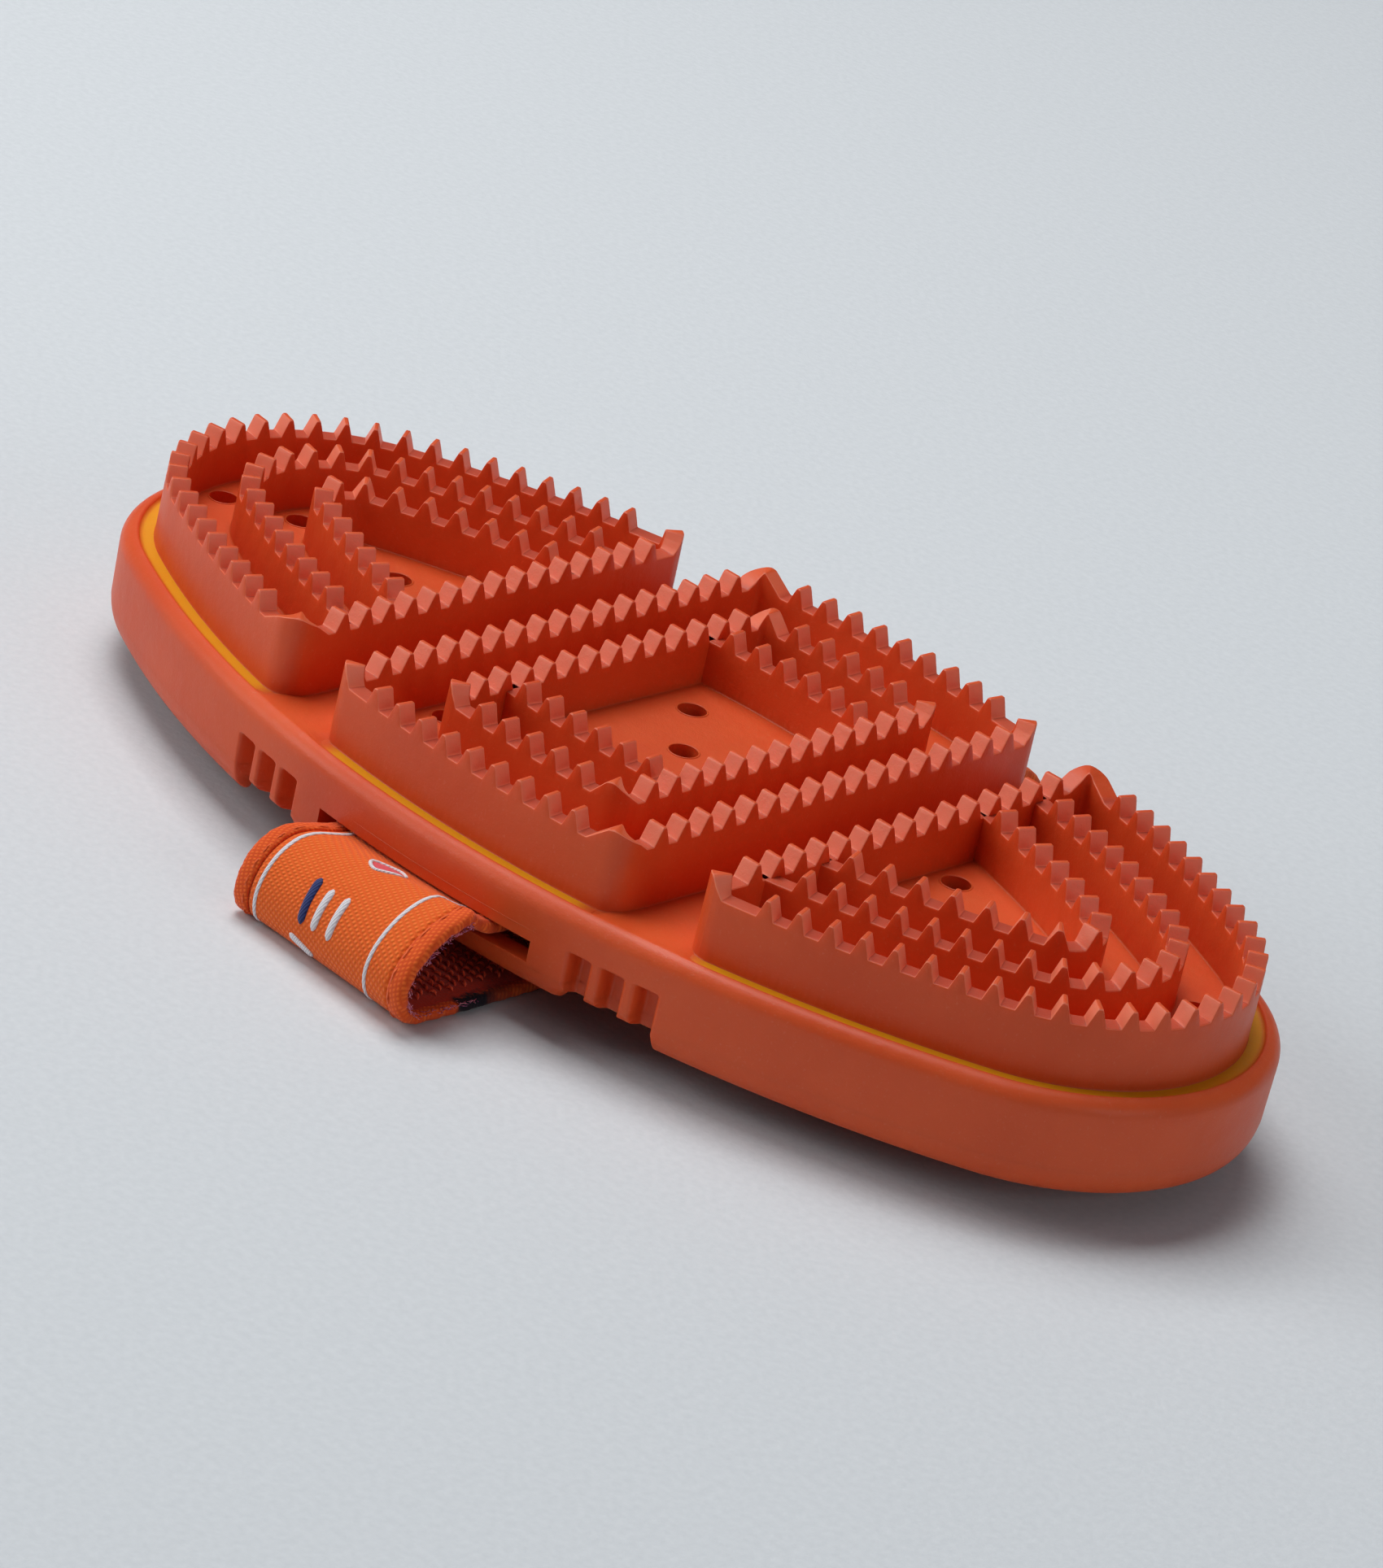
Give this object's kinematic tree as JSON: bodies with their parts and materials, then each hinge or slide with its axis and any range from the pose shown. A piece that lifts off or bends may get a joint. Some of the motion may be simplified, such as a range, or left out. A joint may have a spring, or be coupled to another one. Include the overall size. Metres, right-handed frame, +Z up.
{
  "type": "rubber curry comb",
  "caption": "Lens-shaped hollow rubber curry comb with nested toothed ridges on one face and a woven hand strap threaded through slots in its skirt.",
  "frame": {"origin": "floor level, under the middle of the comb", "axes": "+X along the comb, +Y across it along the strap, +Z up out of the toothed face"},
  "size_m": [0.1808, 0.1154, 0.0275],
  "materials": {
    "comb_rubber": "satin moulded rubber",
    "groove_ochre": "matt, golden brown",
    "face_weave": "fine twill weave",
    "lining_loops": "coarse loops",
    "hem_weave": "coarse folded hem",
    "stitch_thread": "sunk lockstitch",
    "white_thread": "raised woven thread",
    "navy_thread": "raised woven thread",
    "red_thread": "raised woven thread"
  },
  "bodies": {
    "comb": {"base_plate": "comb_rubber", "rim_skirt": "comb_rubber", "left_pad": "comb_rubber", "middle_pad": "comb_rubber", "right_pad": "comb_rubber", "left_cross_wall": "comb_rubber", "left_outer_arch": "comb_rubber", "left_middle_arch": "comb_rubber", "left_inner_arch": "comb_rubber", "right_cross_wall": "comb_rubber", "right_outer_arch": "comb_rubber", "right_middle_arch": "comb_rubber", "right_inner_arch": "comb_rubber", "middle_outer_ring": "comb_rubber", "middle_inner_ring": "comb_rubber", "near_inner_wall": "comb_rubber", "far_inner_wall": "comb_rubber", "left_groove_band": "groove_ochre", "right_groove_band": "groove_ochre", "near_groove_band": "groove_ochre", "far_groove_band": "groove_ochre"},
    "strap": {"strap_face": "face_weave", "strap_lining": "lining_loops", "left_hem": "hem_weave", "right_hem": "hem_weave", "left_stitching": "stitch_thread", "right_stitching": "stitch_thread", "left_stripe": "white_thread", "right_stripe": "white_thread", "navy_mark": "navy_thread", "white_mark": "white_thread", "red_mark": "red_thread", "join_seam": "hem_weave"}
  },
  "joints": [
    {"name": "strap_shift", "type": "slide", "parent": "comb", "child": "strap", "axis": [1, 0, 0], "range_m": [0, 0.004]}
  ]
}
